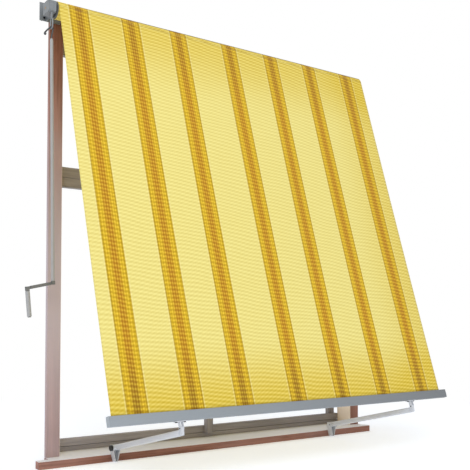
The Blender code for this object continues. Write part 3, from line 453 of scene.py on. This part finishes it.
# Grain: how closely its lines lie across and along the timber, and how much each kind counts
GRAIN_ACROSS = 26.0
GRAIN_ALONG = 1.1
RING_WEIGHT = 0.75
FINE_WEIGHT = 0.45
GRAIN_SHIFT = 0.10
GRAIN_EDGE = (0.30, 0.72)

# Worn patches all over the timber
PATCH_SCALE = 2.4
PATCH_EDGE = (0.42, 0.75)
PATCH_WEAR = 0.12

# Heights between which the painted light ends, and between which the foot gets less of it
LIGHT_END = (0.90, 2.05)
LIGHT_FOOT = (0.15, 0.75)
FOOT_LOSS = 0.55

# Painted shade towards the far side: its reach from the middle, in metres, and its strength
FAR_SHADE_REACH = 1.1
FAR_SHADE = 0.4

# Depth under a face with painted light where that light is gone, and where it is still whole
PALE_SKIN = 0.0016
JAMB_SKIN = 0.0002
SILL_SKIN = 0.0004


def timber_finish(name, along, tone, painted_light=0.0, sill=False):
    """Timber whose grain runs along one axis. Its painted light is strongest below the middle."""
    timber = bpy.context.scene.awning_timber
    finish = Finish(name)
    stretch = [GRAIN_ACROSS] * 3
    stretch["XYZ".index(along)] = GRAIN_ALONG
    place = finish.place(stretch)
    rings = finish.noise(place, 1.0, 5.0, 0.62)
    fine = finish.noise(place, 4.5, 4.0, 0.7)
    patches = finish.noise(finish.place(), PATCH_SCALE, 2.0)
    across, _, height = finish.axes(finish.place())
    grain = rings * RING_WEIGHT + fine * FINE_WEIGHT - GRAIN_SHIFT
    dark, pale = tone
    colour = finish.mix(grain.fade(*GRAIN_EDGE), dark, pale)
    wear_and_light = patches.fade(*PATCH_EDGE) * PATCH_WEAR
    # Painted light on the jambs, strongest below the middle and less at the foot
    if painted_light:
        lower = 1.0 - height.fade(*LIGHT_END)
        above_foot = height.fade(*LIGHT_FOOT) * FOOT_LOSS + (1.0 - FOOT_LOSS)
        wear_and_light = wear_and_light + lower * above_foot * painted_light
    colour = finish.mix(wear_and_light.least(1.0), colour, timber.bleached[:])
    # Painted shade towards the far side
    colour = finish.mix(across.fade(0.0, FAR_SHADE_REACH) * FAR_SHADE, colour, dark)
    # Painted light on the jambs' inner faces
    if painted_light:
        inner = 1.0 - abs(across).fade(JAMB_INNER + JAMB_SKIN, JAMB_INNER + PALE_SKIN)
        colour = finish.mix(inner * (0.88 + fine * 0.12), colour, timber.planed[:])
    # Painted light on the top of the sill
    if sill:
        sill_top_light = height.fade(SILL_TOP - PALE_SKIN, SILL_TOP - SILL_SKIN)
        colour = finish.mix(sill_top_light * (0.82 + fine * 0.18), colour, timber.sill_top[:])
    finish.emboss(rings * 0.6 + fine * 0.5, 0.0008, 0.6)
    finish.set(Specular_IOR_Level=0.35)
    return finish.set(Base_Color=colour, Roughness=0.50 + fine * 0.18)


def shaded(colour, share):
    return (*(part * share for part in colour[:3]), 1.0)


# How fine the skin and the dirt's patches are, where the dirt sets in, and its shade
SKIN_SCALE = 900.0
DIRT_SCALE = 22.0
DIRT_EDGE = (0.45, 0.80)
DIRT_SHADE = 0.45


def paint_finish(name, colour, roughness, speckle, metallic=0.0):
    """Powder coat, cast zinc or moulded plastic: a fine skin with slight dirt in broad patches."""
    finish = Finish(name)
    place = finish.place()
    skin = finish.noise(place, SKIN_SCALE, 2.0)
    dirt = finish.noise(place, DIRT_SCALE, 4.0, 0.6)
    tint = finish.mix(dirt.fade(*DIRT_EDGE) * speckle, colour, shaded(colour, DIRT_SHADE))
    finish.emboss(skin, 0.0001, 0.35)
    return finish.set(Base_Color=tint, Roughness=roughness + dirt * 0.12, Metallic=metallic)


# How closely the draw lines lie along and across the bar, and their shade
LINES_ALONG = 3.0
LINES_ACROSS = 700.0
LINE_SHADE = 0.72


def drawn_finish(name, colour, far_reflection):
    """Extruded aluminium with fine draw lines. A painted reflection darkens it slowly along the bar."""
    finish = Finish(name)
    lines = finish.noise(finish.place((LINES_ALONG, LINES_ACROSS, LINES_ACROSS)), 1.0, 3.0)
    patches = finish.noise(finish.place(), 3.0, 3.0)
    across, _, _ = finish.axes(finish.place())
    # Painted reflection: darker towards the bar's far end
    way = (across - BAR_LOW.x) / (BAR_HIGH.x - BAR_LOW.x)
    tone = finish.mix(way.least(1.0), colour, far_reflection)
    tint = finish.mix(lines * 0.20 + patches * 0.15, tone, shaded(far_reflection, LINE_SHADE))
    finish.emboss(lines, 0.00015, 0.4)
    return finish.set(Base_Color=tint, Roughness=0.50 + lines * 0.15, Metallic=0.12)


# How much painted light each jamb gets
JAMB_LIGHT = {"left_jamb": 0.85, "right_jamb": 0.02}
UPRIGHTS = ("left_jamb", "right_jamb", "left_stile", "right_stile", "mullion")

# Finishes made so far, by name
finishes = {}


def finish_for(slot, node):
    """The finish of a material slot. Timber is told apart by its grain and by where it has painted light.
    """
    timber = bpy.context.scene.awning_timber
    metal = bpy.context.scene.awning_metal
    stain = (timber.dark_stain[:], timber.stain[:])
    paint = (timber.inner_shade[:], timber.inner_paint[:])
    along = "Z" if node in UPRIGHTS else "X"
    painted_light = JAMB_LIGHT.get(node, 0.0)
    sill = node == "sill_board"
    makers = {
        "timber": lambda name: timber_finish(name, along, stain, painted_light, sill),
        "grey_wood": lambda name: timber_finish(name, along, paint),
        "zinc": lambda name: paint_finish(name, metal.zinc[:], 0.42, 0.35, 0.25),
        "galvanized_tube": lambda name: paint_finish(name, metal.zinc[:], 0.35, 0.20, 0.8),
        "bar_aluminium": lambda name: drawn_finish(name, metal.bar[:], metal.far_bar[:]),
        "gear_bronze": lambda name: paint_finish(name, metal.bronze[:], 0.35, 0.30, 0.9),
        "white_metal": lambda name: paint_finish(name, metal.white[:], 0.30, 0.10),
        "grip_plastic": lambda name: paint_finish(name, metal.grip[:], 0.48, 0.15),
        "dark_plastic": lambda name: paint_finish(name, metal.joint[:], 0.46, 0.20),
        "dark_steel": lambda name: paint_finish(name, metal.black[:], 0.40, 0.20, 0.5),
    }
    key = slot
    if slot in ("timber", "grey_wood"):
        key = f"{slot}_{node}" if painted_light or sill else f"{slot}_{along}"
    if key not in finishes:
        finishes[key] = makers[slot](key)
    return finishes[key]


def slot_of(node):
    for subpart in frame["record"]["subparts"]:
        if subpart["node"] == node:
            return subpart["material_slot"]
    raise RuntimeError(f"{node} has no material slot")


def settle(name, shape, finish, body, smooth_angle=SMOOTH_ANGLE):
    """Turns a bmesh into a finished piece that rides on a body."""
    mesh = bpy.data.meshes.new(name)
    shape.to_mesh(mesh)
    shape.free()
    mesh.materials.append(finish)
    mesh.shade_smooth()
    mesh.set_sharp_from_angle(angle=smooth_angle)
    piece = bpy.data.objects.new(name, mesh)
    bpy.context.scene.collection.objects.link(piece)
    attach(piece, body)
    return piece


def dress(node, edge=0.0, finish=None):
    """Replaces a solid by a merged copy of it with rounded edges and its own finish."""
    solid = frame["nodes"][node]
    shape = bmesh.new()
    shape.from_mesh(solid.data)
    bmesh.ops.remove_doubles(shape, verts=shape.verts, dist=MERGE_DISTANCE)
    bmesh.ops.dissolve_limit(
        shape, angle_limit=FLAT_ANGLE, verts=shape.verts, edges=shape.edges, delimit={"NORMAL"}
    )
    slot = slot_of(node)
    piece = settle(node + "_finish", shape, finish or finish_for(slot, node), solid["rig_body"])
    if edge:
        bevel = piece.modifiers.new("Rounded edges", "BEVEL")
        bevel.width = edge
        bevel.segments = 2
        bevel.limit_method = "ANGLE"
        bevel.angle_limit = CORNER_ANGLE
        bevel.use_clamp_overlap = True
    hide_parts(node)


# Pieces


class AWNING_OT_timber(bpy.types.Operator):
    """Rounds and stains the sill, jambs and head"""

    bl_idname = "awning.timber"
    bl_label = "Timber Frame"

    def execute(self, context):
        edge = context.scene.awning_timber.edge
        for node in ("sill_board", "left_jamb", "right_jamb", "head_rail"):
            dress(node, edge)
        return {"FINISHED"}


class AWNING_OT_inner_frame(bpy.types.Operator):
    """Rounds and paints the grey inner frame"""

    bl_idname = "awning.inner_frame"
    bl_label = "Inner Frame"

    nodes = ("bottom_rail", "sash_rail", "transom", "top_rail", "left_stile", "right_stile", "mullion")

    def execute(self, context):
        edge = context.scene.awning_timber.edge * 0.5
        for node in self.nodes:
            dress(node, edge)
        return {"FINISHED"}


class AWNING_OT_cloth(bpy.types.Operator):
    """Hangs the striped cloth from the roll to the front bar"""

    bl_idname = "awning.cloth"
    bl_label = "Cloth"

    columns = 120
    rows = 140
    smooth_angle = math.radians(60)

    # Share of the cloth's length that is left when the awning is fully up
    keep = 0.730

    # Waves across the cloth, in radians: the fine ones, their slant, and the broad ones and their start
    fine_waves = 19.0
    fine_slant = 2.2
    broad_waves = 7.0
    broad_start = 0.6

    def execute(self, context):
        cloth = context.scene.awning_cloth
        shape = bmesh.new()
        bmesh.ops.create_grid(shape, x_segments=self.columns, y_segments=self.rows, size=0.5)
        layer = shape.loops.layers.uv.new(CLOTH_MAP)
        margin = Vector((0.0, cloth.thickness, cloth.thickness)) / 2
        top = Vector((0.0, SHEET_HIGH.y, SHEET_HIGH.z)) - margin
        bottom = Vector((0.0, SHEET_LOW.y, SHEET_LOW.z)) + margin
        outward = (bottom - top).cross(Vector((1.0, 0.0, 0.0))).normalized()
        if outward.y > 0.0:
            outward = -outward
        for vertex in shape.verts:
            across = vertex.co.x + 0.5
            down = 0.5 - vertex.co.y
            for loop in vertex.link_loops:
                loop[layer].uv = (across * CLOTH_WIDTH, down * CLOTH_LENGTH)
            hold = math.sin(math.pi * down)
            fine = math.sin(across * self.fine_waves + down * self.fine_slant)
            broad = math.sin(across * self.broad_waves + self.broad_start)
            lift = cloth.ripple * hold * fine * broad
            vertex.co = top.lerp(bottom, down) + outward * (lift - cloth.sag * hold)
            vertex.co.x = SHEET_LOW.x + across * CLOTH_WIDTH
        bmesh.ops.recalc_face_normals(shape, faces=shape.faces)
        finish = cloth_finish("striped_cloth")
        piece = settle("awning_sheet", shape, finish, "cloth", self.smooth_angle)
        solid = piece.modifiers.new("Cloth thickness", "SOLIDIFY")
        solid.thickness = cloth.thickness
        solid.offset = 0.0
        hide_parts("fabric_sheet")
        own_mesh(piece)
        return {"FINISHED"}


class AWNING_OT_roll(bpy.types.Operator):
    """Gives the cloth's roll on the roller its striped finish, and finishes the roller's tube and plugs"""

    bl_idname = "awning.roll"
    bl_label = "Roll"

    def turn_of(self, offset):
        """The angle around the roller's axis, counted up from the front."""
        return math.atan2(offset.z, -offset.y)

    def execute(self, context):
        centre = (ROLL_LOW + ROLL_HIGH) / 2
        shape = bmesh.new()
        shape.from_mesh(frame["nodes"]["fabric_roll"].data)
        bmesh.ops.remove_doubles(shape, verts=shape.verts, dist=MERGE_DISTANCE)
        layer = shape.loops.layers.uv.new(CLOTH_MAP)
        for face in shape.faces:
            middle_turn = self.turn_of(face.calc_center_median() - centre)
            for loop in face.loops:
                offset = loop.vert.co - centre
                turn = self.turn_of(offset)
                if turn - middle_turn > math.pi:
                    turn -= WHOLE_TURN
                if middle_turn - turn > math.pi:
                    turn += WHOLE_TURN
                loop[layer].uv = (loop.vert.co.x - SHEET_LOW.x, -turn * offset.yz.length)
        piece = settle("fabric_roll_finish", shape, cloth_finish("wound_cloth"), "roller")
        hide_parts("fabric_roll")
        for node in ("roller_tube", "drive_plug", "idler_plug", "worm_wheel"):
            dress(node)
        return {"FINISHED"}


class AWNING_OT_gear(bpy.types.Operator):
    """Finishes the gear, its wall plate, the idler's bracket and their screws"""

    bl_idname = "awning.gear"
    bl_label = "Gear and Idler"

    def execute(self, context):
        edge = context.scene.awning_metal.edge
        for node in ("gear_plate", "idler_bracket", "gear_cover"):
            dress(node, edge)
        dress("gear_housing", edge * 2)
        dress("gear_screw_outer", edge, finish_for("dark_steel", "gear_screw_outer"))
        for node in ("gear_screw_inner", "idler_screw_low", "idler_screw_high"):
            dress(node, edge)
        dress("worm_with_eye")
        return {"FINISHED"}


class AWNING_OT_crank(bpy.types.Operator):
    """Finishes the hook, rod, folding arm and grip"""

    bl_idname = "awning.crank"
    bl_label = "Crank"

    def execute(self, context):
        metal = context.scene.awning_metal
        dress("crank_rod", 0.0, finish_for("grip_plastic", "crank_rod"))
        dress("crank_hook", 0.0, paint_finish("hook_skin", metal.dark[:], 0.42, 0.20, 0.25))
        for node in ("elbow_pin", "grip_pin", "crank_arm", "crank_grip"):
            dress(node)
        for node in ("elbow_fork", "grip_rod"):
            dress(node, metal.edge)
        return {"FINISHED"}


class AWNING_OT_arms(bpy.types.Operator):
    """Finishes the two arms, their sill brackets, bolts and caps"""

    bl_idname = "awning.arms"
    bl_label = "Arms"

    def execute(self, context):
        metal = context.scene.awning_metal
        edge = metal.edge
        black = paint_finish("black_cap", metal.black[:], 0.38, 0.10)
        for side in ("left", "right"):
            for node in ("arm_tube", "arm_knuckle", "arm_tip", "pivot_bolt", "sill_screw"):
                dress(f"{side}_{node}")
            dress(f"{side}_sill_bracket", edge)
            dress(f"{side}_pivot_cap", edge * 2, black)
        return {"FINISHED"}


class AWNING_OT_bar(bpy.types.Operator):
    """Finishes the front bar, its end caps, hem rod, brackets, pins and screws"""

    bl_idname = "awning.bar"
    bl_label = "Front Bar"

    def execute(self, context):
        metal = context.scene.awning_metal
        edge = metal.edge
        dress("front_bar")
        dress("bar_cap_left", edge, paint_finish("left_cap_skin", metal.bar[:], 0.45, 0.10))
        # The right cap takes the painted reflection of the bar's far end
        dress("bar_cap_right", edge, paint_finish("right_cap_skin", metal.far_bar[:], 0.45, 0.10))
        dress("hem_rod")
        for side in ("left", "right"):
            dress(f"{side}_bar_bracket", edge)
            dress(f"{side}_bar_pin")
            for end in ("left", "right"):
                dress(f"{side}_bar_screw_{end}", edge)
        return {"FINISHED"}


class AWNING_OT_stage(bpy.types.Operator):
    """Lays the pale floor and sets the even light, the lamps and the camera"""

    bl_idname = "awning.stage"
    bl_label = "Stage"

    # Camera, fitted to the photo: place in metres, turn and pitch in degrees, lens in millimetres
    camera_place = (-2.3707, -3.4792, 0.6961)
    camera_turn = 35.094
    camera_pitch = 2.155
    lens = 57.105
    sensor_width = 36.0
    shift_y = 0.1228

    # Floor just under the sill, and the point that the lamps face
    floor_drop = 0.001
    floor_sides = 96
    lamp_aim = Vector((0.0, -0.2, 1.1))

    def execute(self, context):
        stage = context.scene.awning_stage
        self.lay_floor(stage)
        self.light(stage)
        camera = bpy.data.objects.new("camera", bpy.data.cameras.new("camera"))
        context.scene.collection.objects.link(camera)
        camera.location = self.camera_place
        camera.rotation_euler = (math.radians(90 + self.camera_pitch), 0.0, -math.radians(self.camera_turn))
        camera.data.sensor_width = self.sensor_width
        camera.data.lens = self.lens
        camera.data.shift_y = self.shift_y
        context.scene.camera = camera
        context.scene.view_settings.view_transform = "Standard"
        return {"FINISHED"}

    def lay_floor(self, stage):
        """A floor that shows the shadow near the awning and is plain white farther away."""
        shape = bmesh.new()
        bmesh.ops.create_circle(shape, cap_ends=True, segments=self.floor_sides, radius=stage.floor_radius)
        bmesh.ops.translate(shape, verts=shape.verts, vec=(0.0, 0.0, -self.floor_drop))
        mesh = bpy.data.meshes.new("floor")
        shape.to_mesh(mesh)
        shape.free()
        finish = Finish("pale_floor")
        reach = finish.node("ShaderNodeVectorMath", {"operation": "LENGTH"}, {0: finish.place()}, "Value")
        glow = finish.node("ShaderNodeEmission", None, {"Color": WHITE, "Strength": 1.0})
        near = Socket(finish, finish.surface.outputs["BSDF"])
        inputs = {0: reach.fade(stage.near_floor, stage.far_floor), 1: near, 2: glow}
        blend = finish.node("ShaderNodeMixShader", None, inputs)
        finish.feed(finish.tree.nodes["Material Output"].inputs["Surface"], blend)
        finish.set(Specular_IOR_Level=0.0, Emission_Color=WHITE, Emission_Strength=stage.floor_glow)
        mesh.materials.append(finish.set(Base_Color=stage.floor[:], Roughness=0.95))
        floor = bpy.data.objects.new("floor", mesh)
        bpy.context.scene.collection.objects.link(floor)

    def light(self, stage):
        """Even light that is plain white where the camera sees it or its reflection, and two lamps."""
        world = bpy.data.worlds.new("even_light")
        bpy.context.scene.world = world
        world.use_nodes = True
        sky = Shader(world.node_tree)
        rays = sky.outputs("ShaderNodeLightPath")
        seen = (rays["Is Camera Ray"] + rays["Is Glossy Ray"] + rays["Is Transmission Ray"]).least(1.0)
        background = sky.tree.nodes["Background"]
        background.inputs["Color"].default_value = WHITE
        sky.feed(background.inputs["Strength"], seen * (1.0 - stage.sky) + stage.sky)
        lamps = (
            ("key_lamp", (-3.2, -4.6, 3.9), 3.2, stage.key_power),
            ("side_lamp", (4.2, -3.0, 2.6), 2.6, stage.key_power * stage.side_share),
        )
        for name, place, size, power in lamps:
            lamp = bpy.data.lights.new(name, "AREA")
            lamp.energy = power
            lamp.size = size
            holder = bpy.data.objects.new(name, lamp)
            bpy.context.scene.collection.objects.link(holder)
            holder.location = place
            aim = self.lamp_aim - Vector(place)
            holder.rotation_euler = aim.to_track_quat("-Z", "Y").to_euler()


STEPS = (
    AWNING_OT_stage,
    AWNING_OT_timber,
    AWNING_OT_inner_frame,
    AWNING_OT_roll,
    AWNING_OT_cloth,
    AWNING_OT_gear,
    AWNING_OT_crank,
    AWNING_OT_arms,
    AWNING_OT_bar,
)
SETTINGS = (
    ("awning_cloth", AwningClothSettings),
    ("awning_timber", AwningTimberSettings),
    ("awning_metal", AwningMetalSettings),
    ("awning_stage", AwningStageSettings),
)


class AWNING_PT_panel(bpy.types.Panel):
    """Lists the awning's settings and steps"""

    bl_idname = "AWNING_PT_panel"
    bl_label = "Window Awning"
    bl_space_type = "VIEW_3D"
    bl_region_type = "UI"
    bl_category = "Awning"

    def draw(self, context):
        for step in STEPS:
            self.layout.operator(step.bl_idname)
        for name, group in SETTINGS:
            box = self.layout.box()
            for key in group.__annotations__:
                box.prop(getattr(context.scene, name), key)


def register():
    for name, group in SETTINGS:
        bpy.utils.register_class(group)
        setattr(bpy.types.Scene, name, bpy.props.PointerProperty(type=group))
    for step in STEPS:
        bpy.utils.register_class(step)
    bpy.utils.register_class(AWNING_PT_panel)


def unregister():
    bpy.utils.unregister_class(AWNING_PT_panel)
    for step in reversed(STEPS):
        bpy.utils.unregister_class(step)
    for name, group in reversed(SETTINGS):
        delattr(bpy.types.Scene, name)
        bpy.utils.unregister_class(group)


def main():
    register()
    for step in STEPS:
        getattr(bpy.ops.awning, step.bl_idname.split(".")[1])()


if __name__ == "__main__":
    main()
